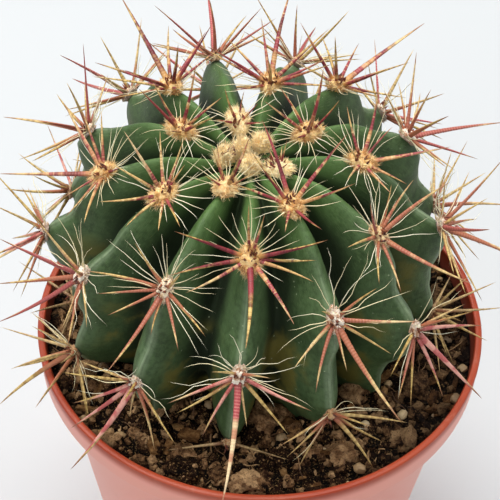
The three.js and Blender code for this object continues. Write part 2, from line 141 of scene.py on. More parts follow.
# Spines as clock angle round the pad from the crownward side, lift above the skin, and length.
# Some have a colour too: the share that is tan, and how ringed they are
FRONT_SPINES = {
    -5: [(75, 35, 18), (5, 32, 18), (290, 35, 14), (118, 30, 14), (180, 25, 13), (215, 22, 11),
         (330, 48, 14)],
    -3: [(264, 56, 16, 0.68, 0.6), (304, 30, 12.5, 0.78, 0.2), (337, 40, 11.5, 0.66, 0.2),
         (239, 28, 12, 0.85, 0.1), (193, 25, 13.5, 0.72, 0.1), (156, 22, 12.5, 0.8, 0.1),
         (124, 20, 11.5, 0.75, 0.1), (102, 18, 11.5), (355, 35, 7)],
    -2: [(84, 38, 16), (50, 33, 11.5), (118, 30, 9.5), (166, 28, 18), (217, 25, 11.5), (240, 22, 12),
         (330, 50, 9), (290, 20, 10)],
    0: [(180, 30, 23, 0.63, 0.0), (280, 30, 17, 0.3, 0.0), (80, 30, 17, 0.35, 0.0), (355, 45, 12),
         (148, 28, 19), (250, 20, 17), (235, 16, 15), (112, 20, 14), (92, 16, 13), (20, 60, 13)],
    2: [(256, 28, 18, 0.5, 0.4), (270, 32, 14, 0.3, 0.2), (292, 30, 12.5, 0.64, 0.2),
         (190, 25, 22, 0.45, 0.3), (148, 20, 9, 0.3, 0.1), (122, 18, 13, 0.35, 0.1),
         (93, 20, 17, 0.75, 0.1), (28, 22, 7)],
    3: [(168, 28, 21, 0.4, 0.2), (93, 27, 18, 0.45, 0.2), (215, 18, 13), (240, 20, 12), (50, 20, 10),
         (64, 26, 13), (290, 24, 13), (330, 50, 15)],
    5: [(183, 26, 20, 0.34, 0.1), (258, 22, 16), (240, 18, 13), (218, 20, 12), (310, 30, 11),
         (105, 20, 14), (133, 20, 13), (165, 20, 9), (30, 55, 13)],
    8: [(100, 30, 17, 0.6, 0.6), (165, 30, 24, 0.48, 0.3), (135, 20, 13), (247, 22, 14), (218, 22, 15),
         (186, 25, 10), (60, 20, 10), (315, 50, 13)],
    10: [(195, 28, 21, 0.12, 0.1), (250, 24, 20, 0.1, 0.1), (220, 35, 18), (145, 22, 11), (128, 22, 15),
         (102, 20, 12), (300, 35, 15), (20, 50, 12)],
    13: [(182, 40, 26, 0.72, 1.0), (252, 22, 15, 0.4, 0.5), (238, 20, 14), (208, 28, 14, 0.3, 0.2),
         (98, 22, 16, 0.3, 0.4), (130, 20, 15), (163, 28, 10), (320, 45, 12), (40, 45, 12)],
    16: [(115, 24, 18, 0.3, 0.1), (92, 18, 13), (158, 30, 26, 0.2, 0.1), (178, 25, 18, 0.3, 0.0),
         (215, 20, 16), (240, 18, 15), (272, 14, 14), (30, 50, 14)],
    18: [(230, 24, 16, 0.4, 0.0), (214, 27, 20, 0.2, 0.0), (197, 40, 25, 0.36, 0.1), (145, 20, 15),
         (112, 20, 15), (178, 15, 9), (265, 22, 15), (290, 20, 12), (20, 50, 12)],
    21: [(280, 16, 14), (240, 16, 12), (205, 20, 14), (169, 28, 19), (130, 22, 16), (100, 22, 17),
         (20, 45, 13)],
    26: [(207, 6, 18), (150, 6, 18), (180, 12, 11), (260, 12, 13), (100, 12, 13)],
}
COMMON_SPINES = [(182, 38, 24), (62, 44, 18), (300, 44, 18), (0, 60, 15), (28, 20, 12), (92, 20, 14),
                 (125, 18, 15), (152, 24, 16), (212, 24, 16), (250, 20, 15), (276, 18, 13)]
YOUNG_SPINES = [(20, 62, 18), (140, 62, 20), (260, 62, 18), (80, 45, 13), (200, 45, 14), (320, 45, 13)]

# Camera, fitted to the photograph
CAMERA_ELEVATION = math.radians(46.257)
CAMERA_ROLL = math.radians(1.753)
CAMERA_DISTANCE = 385.8
CAMERA_TARGET = (-2.9, 0, 113.05)
CAMERA_LENS = 122.4


# Working with objects

def select_only(*pieces):
    bpy.ops.object.select_all(action="DESELECT")
    for piece in pieces:
        piece.select_set(True)
    bpy.context.view_layer.objects.active = pieces[0]


def added(name, primitive, **settings):
    """A primitive, with its place moved into its mesh"""
    bpy.ops.object.select_all(action="DESELECT")
    primitive(**settings)
    piece = bpy.context.active_object
    piece.name = name
    piece.data.name = name
    bpy.ops.object.transform_apply(location=True, rotation=True, scale=True)
    return piece


def points_of(piece):
    points = np.empty(len(piece.data.vertices) * 3)
    piece.data.vertices.foreach_get("co", points)
    return points.reshape(-1, 3)


def put_points(piece, points):
    piece.data.vertices.foreach_set("co", np.ascontiguousarray(points, float).ravel())
    piece.data.update()


def off_axis(points):
    """Distances from the Z axis"""
    return np.hypot(points[..., 0], points[..., 1])


def mark(piece, **marks):
    """Writes numbers on every point of a mesh, for its material to read"""
    mesh = piece.data
    for name, values in marks.items():
        layer = mesh.attributes.get(name) or mesh.attributes.new(name, "FLOAT", "POINT")
        layer.data.foreach_set("value", np.full(len(mesh.vertices), values, np.float32))


def copy_of(model):
    twin = bpy.data.objects.new(model.name, model.data.copy())
    bpy.context.collection.objects.link(twin)
    return twin


def joined(name, pieces):
    select_only(*pieces)
    bpy.ops.object.join()
    piece = bpy.context.active_object
    piece.name = name
    piece.data.name = name
    return piece


def drop(*pieces):
    for piece in pieces:
        bpy.data.objects.remove(piece)


def smooth(piece, angle=180):
    select_only(piece)
    if angle < 180:
        bpy.ops.object.shade_smooth_by_angle(angle=math.radians(angle))
    else:
        bpy.ops.object.shade_smooth()


def cut(piece, tool):
    select_only(piece)
    saw = piece.modifiers.new("cut", "BOOLEAN")
    saw.operation = "DIFFERENCE"
    saw.solver = "EXACT"
    saw.object = tool
    bpy.ops.object.modifier_apply(modifier=saw.name)
    drop(tool)


def drawn_up(name, profile, sides):
    """A turned solid: a disc, then its face drawn out and sized ring by ring"""
    radius, height = profile[0]
    piece = added(name, bpy.ops.mesh.primitive_circle_add, vertices=sides, radius=radius, fill_type="NGON",
                  location=(0, 0, height))
    bpy.ops.object.mode_set(mode="EDIT")
    bpy.ops.mesh.select_all(action="SELECT")
    for next_radius, next_height in profile[1:]:
        bpy.ops.mesh.extrude_region_move(TRANSFORM_OT_translate={"value": (0, 0, next_height - height)})
        share = next_radius / radius
        bpy.ops.transform.resize(value=(share, share, 1), center_override=(0, 0, next_height))
        radius, height = next_radius, next_height
    bpy.ops.object.mode_set(mode="OBJECT")
    return piece


def place_in_metres(piece):
    put_points(piece, points_of(piece) * MM)
    return piece


# Materials

def paint(code):
    """A colour written as in a paint box, made linear"""
    channels = [int(code[i:i + 2], 16) / 255 for i in (0, 2, 4)]
    return (*[c / 12.92 if c <= 0.04045 else ((c + 0.055) / 1.055) ** 2.4 for c in channels], 1)


class Tone:
    """A number that changes over the surface; Python's signs on it add Math nodes"""

    def __init__(self, finish, socket):
        self.finish = finish
        self.socket = socket

    def maths(self, operation, *values):
        node = self.finish.add("ShaderNodeMath", {"operation": operation}, dict(enumerate(values)))
        return Tone(self.finish, node.outputs[0])

    def __add__(self, other):
        return self.maths("ADD", self, other)

    def __radd__(self, other):
        return self.maths("ADD", other, self)

    def __sub__(self, other):
        return self.maths("SUBTRACT", self, other)

    def __rsub__(self, other):
        return self.maths("SUBTRACT", other, self)

    def __mul__(self, other):
        return self.maths("MULTIPLY", self, other)

    def __rmul__(self, other):
        return self.maths("MULTIPLY", other, self)

    def __truediv__(self, other):
        return self.maths("DIVIDE", self, other)

    def sine(self):
        return self.maths("SINE", self)

    def root(self):
        return self.maths("SQRT", self)


class Finish:
    """A material, built node by node"""

    def __init__(self, name):
        self.material = bpy.data.materials.new(name)
        self.material.use_nodes = True
        self.tree = self.material.node_tree
        self.shader = self.tree.nodes["Principled BSDF"]

    def add(self, kind, settings=None, inputs=None):
        node = self.tree.nodes.new(kind)
        for key, value in (settings or {}).items():
            if key == "stops":
                ramp = node.color_ramp
                while len(ramp.elements) < len(value):
                    ramp.elements.new(0.5)
                for element, (position, code) in zip(ramp.elements, value):
                    element.position = position
                    element.color = paint(code)
            else:
                setattr(node, key, value)
        for key, value in (inputs or {}).items():
            self.feed(node.inputs[key], value)
        return node

    def feed(self, socket, value):
        if isinstance(value, Tone):
            value = value.socket
        if isinstance(value, bpy.types.NodeSocket):
            self.tree.links.new(value, socket)
        else:
            socket.default_value = paint(value) if isinstance(value, str) else value

    def mark(self, name):
        return Tone(self, self.add("ShaderNodeAttribute", {"attribute_name": name}).outputs["Fac"])

    def place(self):
        return self.add("ShaderNodeTexCoord").outputs["Object"]

    def along(self, place, axis):
        """A coordinate in millimetres"""
        return Tone(self, self.add("ShaderNodeSeparateXYZ", {}, {"Vector": place}).outputs[axis]) / MM

    def reach(self, place):
        """Distance from the pot's axis in millimetres"""
        x, y = self.along(place, "X"), self.along(place, "Y")
        return (x * x + y * y).root()

    def painted_soil_shade(self, place):
        """Painted shade on the soil: darker in a band along the pot's wall, and on the right"""
        wall = self.step(self.reach(place), *SOIL_SHADE_BY_WALL)
        right = self.step(self.along(place, "X"), *SOIL_SHADE_ON_RIGHT)
        return 1.0 - (1.0 - wall * 0.65) * (1.0 - right * 0.6)

    def stretched(self, vector, scale):
        return self.add("ShaderNodeMapping", {}, {"Vector": vector, "Scale": scale}).outputs[0]

    def point(self, x, y, z):
        return self.add("ShaderNodeCombineXYZ", {}, {"X": x, "Y": y, "Z": z}).outputs[0]

    def speckle(self, vector, scale, detail=3, roughness=0.55):
        node = self.add("ShaderNodeTexNoise", {}, {
            "Vector": vector, "Scale": scale, "Detail": detail, "Roughness": roughness})
        return Tone(self, node.outputs["Fac"])

    def cells(self, vector, scale):
        node = self.add("ShaderNodeTexVoronoi", {}, {"Vector": vector, "Scale": scale})
        return Tone(self, node.outputs["Distance"])

    def step(self, value, low, high):
        node = self.add("ShaderNodeMapRange", {"interpolation_type": "SMOOTHSTEP"}, {
            "Value": value, "From Min": low, "From Max": high})
        return Tone(self, node.outputs["Result"])

    def ramp(self, value, *stops):
        return self.add("ShaderNodeValToRGB", {"stops": stops}, {"Fac": value}).outputs["Color"]

    def mix(self, share, first, second):
        node = self.add("ShaderNodeMix", {"data_type": "RGBA"}, {0: share, 6: first, 7: second})
        return node.outputs[2]

    def coats(self, colour, *layers):
        """Colours laid over the first one, each by its own share"""
        for share, coat in layers:
            colour = self.mix(share, colour, coat)
        return colour

    def relief(self, height, depth, strength=1.0):
        inputs = {"Height": height, "Distance": depth * MM, "Strength": strength}
        return self.add("ShaderNodeBump", {}, inputs).outputs["Normal"]

    def surface(self, **inputs):
        for key, value in inputs.items():
            self.feed(self.shader.inputs[key.replace("_", " ")], value)
        return self.material


def skin_finish():
    """Waxy green skin, greyer on the crests, olive and corked low in the valleys; the valleys are darkened to
    near black as painted shade, starting earlier toward the crown
    """
    f = Finish("cactus_skin")
    place = f.place()
    valley, polar, crest, tone = (f.mark(name) for name in ("valley", "polar", "crest", "tone"))
    cloud = f.speckle(place, 90, 4)
    mottle = f.speckle(place, 800, 4, 0.65)
    grain = f.speckle(place, 2600, 3, 0.6)
    streak = f.speckle(f.point(crest * 0.06, polar * 0.03, tone * 7.0), 9.0, 4, 0.65)
    # Painted shade: how far into a valley a point lies, counted deeper toward the crown
    valley_shade = valley + 0.32 * f.step(polar, 66, 34)
    olive = f.step(valley + 0.5 * cloud, 0.4, 0.75) * f.step(polar, 62, 88) * f.step(cloud, 0.45, 0.6)
    band = f.step(crest, 26, 9) * f.step(polar, 30, 65)
    dull = f.step(mottle, 0.52, 0.38) * f.step(valley, 0.5, 0.1)
    line = f.step(crest, 7.0, 2.0) * f.step(f.speckle(f.point(tone * 9.0, polar * 0.12, 0.0), 2.0), 0.3, 0.5)
    cork = line * f.step(f.speckle(f.point(tone * 5.0, polar * 0.1, 3.0), 2.0), 0.62, 0.7)
    fleck = f.step(f.cells(place, 420), 0.11, 0.05) * f.step(mottle, 0.46, 0.56)
    green = f.coats(
        f.mix(f.step(cloud * 0.7 + 0.5 * mottle, 0.42, 0.78), "354a28", "516a42"),
        (f.step(polar, 45, 12) * 0.7, "5b7f40"),
        (f.step(streak, 0.5, 0.75) * f.step(polar, 100, 30) * 0.5, "7a915e"),
        # Painted shade: near black laid into the valleys
        (f.step(valley_shade, 0.46, 0.95) * 0.9, "0f1b08"),
        (olive * 0.8, "726a2c"),
        (band * (0.2 + 0.6 * streak), "7d9170"),
        (dull * 0.18, "26361c"),
        (line * f.step(polar, 35, 60) * 0.45, "9bae8c"),
        (cork * 0.6, "8a6238"),
        (fleck * 0.55, "b3c09c"))
    relief = f.relief(streak * 0.6 + mottle * 0.5 + grain * 0.3, 0.16, 0.7)
    return f.surface(Base_Color=green, Roughness=0.36 + 0.3 * mottle + 0.3 * valley, Specular_IOR_Level=0.3,
                     Normal=relief)


def horn_finish():
    """Horn: golden at a young spine's root, crimson or rose beyond, then tan, with patches and rings"""
    f = Finish("spine_horn")
    along, run, girth, tone, age, ringed = (
        f.mark(name) for name in ("along", "run", "girth", "tone", "age", "ringed"))
    band = f.speckle(f.point(tone * 61.0, run * 0.2, 0.0), 1.0, 2)
    fine = f.speckle(f.point(tone * 23.0, run * 0.95, 4.0), 1.0, 2)
    patch = f.speckle(f.point(tone * 47.0, run * 0.3, girth * 0.25), 1.0, 2)
    ring = 0.5 + 0.5 * (run * 9.2).sine()
    young = f.step(age, 0.42, 0.36)
    patched = f.step(ringed, 0.0, 0.05)
    wine = f.mix(f.step(band, 0.35, 0.62), "6a1620", "96383e")
    pink = f.mix(f.step(patch, 0.42, 0.58), "b65a56", "dc9f8e")
    rose = f.coats(
        f.mix(f.step(tone, 0.1, 0.5), "984742", "a76444"),
        (f.step(age, 0.6, 0.66) * f.step(tone, 0.6, 0.4), pink),
        (f.step(ringed, 0.8, 0.95), "b0454a"))
    tan = f.mix(f.step(fine, 0.35, 0.65), "9a783a", "d0b26a")
    worn = f.mix(f.step(fine, 0.4, 0.6), "7d6244", "a3865f")
    border = 1.02 - 0.95 * tone + (band - 0.5) * 0.3 + girth * 0.3 * (tone * 40.0).sine() * (1.0 - ringed)
    beyond = f.step(along - border, -0.1, 0.1)
    dash = f.step(fine + 0.5 * band, 0.82, 0.9) * f.step(age, 0.5, 0.3) * patched
    spot = f.step(fine + 0.4 * band, 0.66, 0.56) * young * f.step(along, 0.9, 0.6)
    bands = f.step(f.speckle(f.point(tone * 31.0, run * 0.42, 7.0), 1.0, 1), 0.5, 0.6) * beyond
    horn = f.coats(
        f.mix(young, rose, wine),
        (beyond, tan),
        (f.step(patch, 0.51, 0.57) * young * patched * 0.75, "c79c5c"),
        (dash * 0.7, "dfbe88"),
        (spot * 0.6, "57121c"),
        (f.step(along, 0.2, 0.06) * young * f.step(tone, 0.62, 0.58) * 0.9, "c89a56"),
        (f.step(along, 0.1, 0.02) * f.step(age, 0.36, 0.42) * 0.6, "5d2c20"),
        (beyond * ringed * 0.85, "f3dcae"),
        (bands * ringed * 0.7, "b05836"),
        (f.step(along, 0.78, 0.9) * f.step(tone, 0.85, 0.35 + 0.25 * ringed) * 0.75, "7d3f2a"),
        (ring * ring * ringed * (0.3 + 0.6 * band) * (1.0 - 0.75 * beyond), "dc8f84"),
        (f.step(age, 0.84, 0.98) * 0.8, worn))
    return f.surface(Base_Color=horn, Roughness=0.42 + 0.15 * fine, Normal=f.relief(ring, 0.06, 0.7))


def felt_finish():
    """Golden wool that turns pinkish white with age, browner in its pits"""
    f = Finish("areole_wool")
    place = f.place()
    age, along = f.mark("age"), f.mark("along")
    clump = f.speckle(place, 700, 3)
    fibre = f.speckle(place, 3200, 3)
    gold = f.mix(f.step(clump, 0.35, 0.6), "cf9650", "f0cd8e")
    cream = f.mix(f.step(clump, 0.3, 0.5), "f4d08c", "fde6b0")
    pale = f.mix(f.step(clump, 0.36, 0.5), "dfab84", "fff0da")
    root = f.mix(f.step(fibre, 0.4, 0.6), "6b3a26", "b07a58")
    worn = f.step(age, 0.38, 0.42)
    pit = f.step(clump + 0.3 * fibre, 0.62, 0.48) * f.step(along, 0.7, 0.1) * f.step(age, 0.1, 0.2)
    wool = f.coats(
        f.mix(f.step(age, 0.17, 0.1), gold, cream),
        (worn, f.mix(f.step(age, 0.42, 0.48), "ecd0a0", pale)),
        (f.step(age, 0.77, 0.83) * 0.8, "d29c55"),
        (pit * 0.7, "7a431f"),
        (f.step(along, 0.3, 0.02) * worn * (0.85 - 0.4 * age), root),
        (f.step(along, 0.75, 1.0) * f.step(age, 0.8, 0.6) * 0.4, "fff0d0"))
    relief = f.relief(fibre + clump, 0.15, 0.7)
    return f.surface(Base_Color=wool, Roughness=0.9, Normal=relief, Sheen_Weight=0.25, Subsurface_Weight=0.3,
                     Subsurface_Radius=(1.0, 0.75, 0.5), Subsurface_Scale=0.6 * MM)


def bristle_finish():
    """Thin pale bristles, tan at the root on the oldest areoles"""
    f = Finish("pale_bristle")
    along, tone, age = f.mark("along"), f.mark("tone"), f.mark("age")
    pale = f.coats(
        f.mix(f.step(tone, 0.2, 0.9), "f6e9bb", "fffadc"),
        (f.step(along, 0.3, 0.0) * f.step(tone, 0.5, 0.9) * 0.5, "c98f6a"),
        (f.step(age, 0.85, 1.0) * 0.6, "a08a66"))
    return f.surface(Base_Color=pale, Roughness=0.45 + 0.1 * tone)


def bud_finish():
    """Dark buried spine buds"""
    f = Finish("spine_bud")
    bud = f.mix(f.step(f.speckle(f.place(), 1500), 0.4, 0.6), "4a1f16", "8a4a2a")
    return f.surface(Base_Color=bud, Roughness=0.6)


def plastic_finish():
    """Moulded terracotta plastic with a faint grain and dust; below the rim's top edge a pale pink veil
    stands for the bright floor's light and reflection, painted on, and the inner wall above the shoulder is
    darkened as painted shade
    """
    f = Finish("terracotta_plastic")
    place = f.place()
    grain = f.speckle(place, 2600, 2)
    cloud = f.speckle(place, 26, 4)
    dust = f.step(f.speckle(place, 160, 5), 0.58, 0.75)
    height = f.along(place, "Z")
    # Painted shade: this mask picks the inner wall, which is darkened above the shoulder
    wall = f.step(f.reach(place), RIM_RADIUS - WALL + 0.3, RIM_RADIUS - WALL)
    clay = f.coats(
        f.mix(f.step(cloud, 0.35, 0.65), "9e3a1f", "aa4728"),
        # Painted light: the pale pink veil below the rim's top is the bright floor's light and reflection,
        # painted on
        (f.step(height, POT_HEIGHT - 0.6, POT_HEIGHT - 4) * 0.9, "efa392"),
        (dust * 0.18, "e0b09e"),
        # Painted shade: dark red-brown laid over the inner wall above the shoulder
        (wall * f.step(height, SHOULDER_TOP, SHOULDER_TOP + 1) * 0.9, "7a2c1a"))
    return f.surface(Base_Color=clay, Roughness=0.34 + 0.12 * cloud + 0.08 * dust, Specular_IOR_Level=0.35,
                     Normal=f.relief(grain, 0.03, 0.5))


def soil_finish():
    """Peat, brown by clod and by each piece's tone; where the tone follows the soil's bumps its low gaps go
    near black as painted shade, and it is darkened along the wall and on the right as painted shade
    """
    f = Finish("peat")
    place = f.place()
    clod = f.speckle(place, 420, 5, 0.65)
    grit = f.speckle(place, 2200, 4, 0.7)
    soil = f.coats(
        # The clods give the peat's own browns; on the soil's surface the tone mark adds painted shade in the
        # low gaps
        f.ramp(clod * 0.7 + f.mark("tone") * 0.45,
               (0.37, "060302"), (0.52, "2b180d"), (0.65, "7a593c"), (0.87, "c8a276")),
        (f.step(grit, 0.57, 0.66) * 0.6, "c99f68"),
        (f.step(grit, 0.46, 0.37) * 0.75, "0c0604"),
        # Painted shade along the pot's wall and on the right
        (f.painted_soil_shade(place), "0d0705"))
    return f.surface(Base_Color=soil, Roughness=0.85, Specular_IOR_Level=0.1,
                     Normal=f.relief(clod + 0.6 * grit, 0.5, 0.9))


def bark_finish():
    f = Finish("bark")
    layers = f.speckle(f.stretched(f.place(), (1, 1, 4)), 700, 5, 0.65)
    bark = f.ramp(layers * 0.7 + f.mark("tone") * 0.3,
                  (0.3, "25150b"), (0.5, "654527"), (0.68, "a07a4e"), (0.85, "d2b284"))
    # Painted shade: bark chips darkened along the pot's wall and on the right
    bark = f.mix(f.painted_soil_shade(f.place()) * 0.7, bark, "1c100a")
    return f.surface(Base_Color=bark, Roughness=0.8, Specular_IOR_Level=0.1,
                     Normal=f.relief(layers, 0.4, 0.8))


def stone_finish():
    f = Finish("grit_stone")
    grain = f.speckle(f.place(), 1300, 4, 0.6)
    stone = f.ramp(f.mark("tone"), (0.0, "66543c"), (0.35, "967d5c"), (0.6, "b8966a"), (0.8, "d6bb8c"),
                   (1.0, "e8dabc"))
    stone = f.mix(f.step(grain, 0.55, 0.75) * 0.5, stone, "6a5a48")
    # Painted shade: stones darkened along the pot's wall and on the right
    stone = f.mix(f.painted_soil_shade(f.place()) * 0.6, stone, "3a281b")
    return f.surface(Base_Color=stone, Roughness=0.6, Normal=f.relief(grain, 0.15, 0.6))


def fibre_finish():
    f = Finish("root_fibre")
    grain = f.speckle(f.place(), 900, 3)
    fibre = f.ramp(f.mark("tone") * 0.7 + grain * 0.4, (0.2, "3a2618"), (0.5, "6d4c30"), (0.8, "a58258"))
    return f.surface(Base_Color=fibre, Roughness=0.75)


def floor_finish():
    f = Finish("pale_floor")
    cloud = f.speckle(f.place(), 3, 2)
    return f.surface(Base_Color=f.mix(cloud, "bfc4c7", "c4c7c9"), Roughness=0.8)


# Stem surface, the same rule as the solid's

def crest_outline(polar):
    cosine = np.cos(np.radians(polar))
    radius = STEM_RADIUS * np.abs(np.sin(np.radians(polar))) ** (2 / ROUNDNESS)
    reach = np.where(cosine > 0, STEM_RISE, STEM_DROP)
    dip = np.where(cosine > 0, CROWN_DIP * np.exp(-(radius / CROWN_DIP_RADIUS) ** 2), 0)
    return radius, STEM_MIDDLE + reach * np.sign(cosine) * np.abs(cosine) ** (2 / ROUNDNESS) - dip


def outline_normal(polar):
    ahead = np.array(crest_outline(polar + 0.5))
    along = ahead - np.array(crest_outline(np.maximum(polar - 0.5, 0.01)))
    along = along / np.hypot(*along)
    return -along[1], along[0]


def spiral_polar(polar):
    return polar - CROWN_SPREAD ** 2 / (4 * np.maximum(polar, 2))


def areole_polar(index):
    even = START_POLAR + STEP * index
    return (even + math.hypot(even, CROWN_SPREAD)) / 2


def smoothstep(value, low, high):
    share = np.clip((value - low) / (high - low), 0, 1)
    return share * share * (3 - 2 * share)


def rib_valley(polar, phase):
    low, high = RIB_SHARPNESS
    sharpness = low + (high - low) * smoothstep(polar, *SHARPENING)
    return 1 - np.abs(np.cos(np.radians(phase / 2))) ** sharpness


def crest_hollow(polar, rib, spiral):
    """How far the crest sinks between one areole and the next older one"""
    share = ((spiral / STEP - STEPS_TO_NEXT_RIB * rib) / RIB_COUNT) % 1
    return CREST_HOLLOW * smoothstep(polar, *HOLLOWING) * np.sin(np.pi * share ** HOLLOW_SKEW) ** 2


def stem_point(polar, rib_phase, outward=0.0):
    """Azimuth 0 faces the front and grows toward +X"""
    radius, height = crest_outline(polar)
    normal = outline_normal(polar)
    spiral = spiral_polar(polar) - START_POLAR
    azimuth = np.radians(START_AZIMUTH + rib_phase / RIB_COUNT - TWIST * spiral)
    rib = np.floor(rib_phase / 360 + 0.5)
    valley = rib_valley(polar, rib_phase - 360 * rib)
    deepening = 1 - np.exp(-(radius / RIB_DEEPENING) ** 2)
    fade = 1 - smoothstep(polar, *RIBS_FADE)
    sink = RIB_DEPTH * valley + crest_hollow(polar, rib, spiral) * (1 - valley)
    move = outward - sink * deepening * fade
    radius = radius + normal[0] * move
    return np.stack([radius * np.sin(azimuth), -radius * np.cos(azimuth), height + normal[1] * move], -1)


STEM_PLACE = np.array(
    Matrix.Translation((*STEM_SHIFT, POT_HEIGHT + STEM_MIDDLE))
    @ Matrix.Rotation(STEM_LEAN, 4, "X")
    @ Matrix.Translation((0, 0, -STEM_MIDDLE)))


def placed(place, points):
    return np.asarray(points) @ place[:3, :3].T + place[:3, 3]


def make_stem():
    """A ball, its points moved on to the stem's surface"""
    rows = STEM_ROWS + len(ROOT_RINGS) + 1
    stem = added("cactus_stem", bpy.ops.mesh.primitive_uv_sphere_add, segments=RIB_COUNT * RIB_COLUMNS,
                 ring_count=rows, radius=1)
    ball = points_of(stem)
    row = np.arccos(np.clip(ball[:, 2], -1, 1)) / np.pi * rows
    turn = np.degrees(np.arctan2(ball[:, 0], -ball[:, 1])) * RIB_COUNT
    rib = np.floor(turn / 360 + 0.5)
    side = (turn - 360 * rib) / 180
    side = np.sign(side) * np.abs(side) ** COLUMN_CROWDING
    phase = 360 * rib + 180 * side
    polar = STEM_ROW_END * np.clip(row, 0.02, STEM_ROWS) / STEM_ROWS
    keel = KEEL * np.exp(-(180 * side / KEEL_PHASE) ** 2) * smoothstep(polar, *KEEL_FROM)
    smooth_points = stem_point(polar, phase)
    dents = np.array([noise.noise(Vector(point) * 0.13) + 0.4 * noise.noise(Vector(point) * 0.45)
                      for point in smooth_points])
    points = stem_point(polar, phase, keel + SKIN_DENTS * dents * smoothstep(polar, 12, 40))
    for step, (radius, drop_height) in enumerate((*ROOT_RINGS, (0, ROOT_TIP_DROP)), 1):
        ring = np.abs(row - STEM_ROWS - step) < 0.5
        points[ring, :2] = radius * ball[ring, :2] / np.maximum(off_axis(ball[ring]), 1e-6)[:, None]
        points[ring, 2] = STEM_MIDDLE - drop_height
    put_points(stem, placed(STEM_PLACE, points) * MM)
    mark(stem, valley=rib_valley(polar, 180 * side), polar=polar, crest=np.abs(180 * side),
         tone=(rib % RIB_COUNT) / RIB_COUNT)
    smooth(stem)
    stem.data.materials.append(skin_finish())
    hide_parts("stem")
    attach(stem, "root")
    return stem


# Areoles: the same places and spines as the solids'

def areole_frame(index):
    polar = areole_polar(index)
    phase = 360 * RIBS_PER_STEP * index
    point = stem_point(polar, phase)
    crownward = stem_point(max(polar - 1, 0.2), phase) - point
    across, up = outline_normal(polar)
    flat = point[:2] / np.hypot(*point[:2])
    normal = np.array([*(flat * across), up])
    side = np.cross(crownward, normal)
    side /= np.linalg.norm(side)
    radius = crest_outline(polar)[0]
    point = point + normal * (GAP + CROWN_GAP * math.exp(-(radius / 10) ** 2))
    place = np.eye(4)
    place[:3, :4] = np.stack([side, np.cross(normal, side), normal, point], -1)
    return STEM_PLACE @ place


def pad_size(index):
    if index <= OLDEST_CROWN_PAD:
        return CROWN_PAD_SIZE
    if index <= OLDEST_YOUNG_PAD:
        return YOUNG_PAD_SIZE
    return GROWN_PAD_SIZE if index <= OLDEST_GROWN_PAD else OLD_PAD_SIZE


draw_state = SPINE_SEED


def spread(amount):
    """A repeatable draw between -amount and amount"""
    global draw_state
    draw_state = draw_state * 16807 % 2147483647
    return (draw_state / 2147483647 * 2 - 1) * amount


def wanted_spines(index):
    if index < FIRST_SPINED_AREOLE:
        return []
    if index in FRONT_SPINES:
        return FRONT_SPINES[index]
    young = index < FULL_GROWN_AREOLE
    growth = FIRST_GROWTH + GROWTH_PER_AREOLE * (index - FIRST_SPINED_AREOLE) if young else 1
    return [(clock + spread(CLOCK_JITTER), lift + spread(LIFT_JITTER),
             length * growth * (1 + spread(LENGTH_JITTER)))
            for clock, lift, length in (YOUNG_SPINES if young else COMMON_SPINES)]


def local_direction(clock, lift):
    clock, lift = math.radians(clock), math.radians(lift)
    return np.array([math.cos(lift) * math.sin(clock), math.cos(lift) * math.cos(clock), math.sin(lift)])


def spine_at(place, clock, lift, length, half):
    direction = local_direction(clock, lift)
    foot = np.array([*(direction[:2] * SPINE_ROOT_SPREAD), SPINE_ROOT_HEIGHT])
    return {"foot": placed(place, foot), "direction": place[:3, :3] @ direction,
            "length": length, "half": half}


def spine_gaps(spine, others):
    """Closest approach to each other straight spine, less the half widths there"""
    feet, ways, lengths, halves = others
    between = spine["foot"] - feet
    along = ways @ spine["direction"]
    from_a = between @ spine["direction"]
    from_b = np.sum(ways * between, 1)
    open_angle = 1 - along * along
    s = np.where(open_angle > 1e-9, (along * from_b - from_a) / np.maximum(open_angle, 1e-9), 0)
    t = np.clip(from_b + along * np.clip(s, 0, spine["length"]), 0, lengths)
    s = np.clip(along * t - from_a, 0, spine["length"])
    t = np.clip(from_b + along * s, 0, lengths)
    near_a = spine["foot"] + spine["direction"] * s[:, None]
    near_b = feet + ways * t[:, None]
    thick = spine["half"] * (1 - 0.6 * s / spine["length"]) + halves * (1 - 0.6 * t / lengths)
    return np.linalg.norm(near_a - near_b, axis=1) - thick


INNER_RIM_RADIUS = RIM_RADIUS - WALL - 0.1
STEM_UNPLACE = np.linalg.inv(STEM_PLACE)


def soil_top_height(radius):
    to_wall = smoothstep(radius, 36, INNER_RIM_RADIUS)
    return POT_HEIGHT - SOIL_BELOW_RIM_AT_STEM - to_wall * (SOIL_BELOW_RIM_AT_WALL - SOIL_BELOW_RIM_AT_STEM)


def above_crests(points):
    local = placed(STEM_UNPLACE, points)
    radius = off_axis(local)
    upper = local[:, 2] > STEM_MIDDLE
    dip = np.where(upper, CROWN_DIP * np.exp(-(radius / CROWN_DIP_RADIUS) ** 2), 0)
    rise = np.abs(local[:, 2] + dip - STEM_MIDDLE) / np.where(upper, STEM_RISE, STEM_DROP)
    size = ((radius / STEM_RADIUS) ** ROUNDNESS + rise ** ROUNDNESS) ** (1 / ROUNDNESS)
    return (size - 1) * STEM_RISE


def clear_of_fixed_things(spine):
    share = np.arange(2, 11) / 10
    points = spine["foot"] + spine["direction"] * (share * spine["length"])[:, None]
    half = spine["half"] * (1 - 0.6 * share)
    radius = off_axis(points)
    inside = points[:, 2] > soil_top_height(radius) + SOIL_CLEARANCE + half
    outside = (radius > RIM_RADIUS + 1.5 + half) | (points[:, 2] > POT_HEIGHT + GAP + half)
    return np.all(above_crests(points) >= half + GAP) and np.all(
        np.where(radius < INNER_RIM_RADIUS - 1.2, inside, outside))


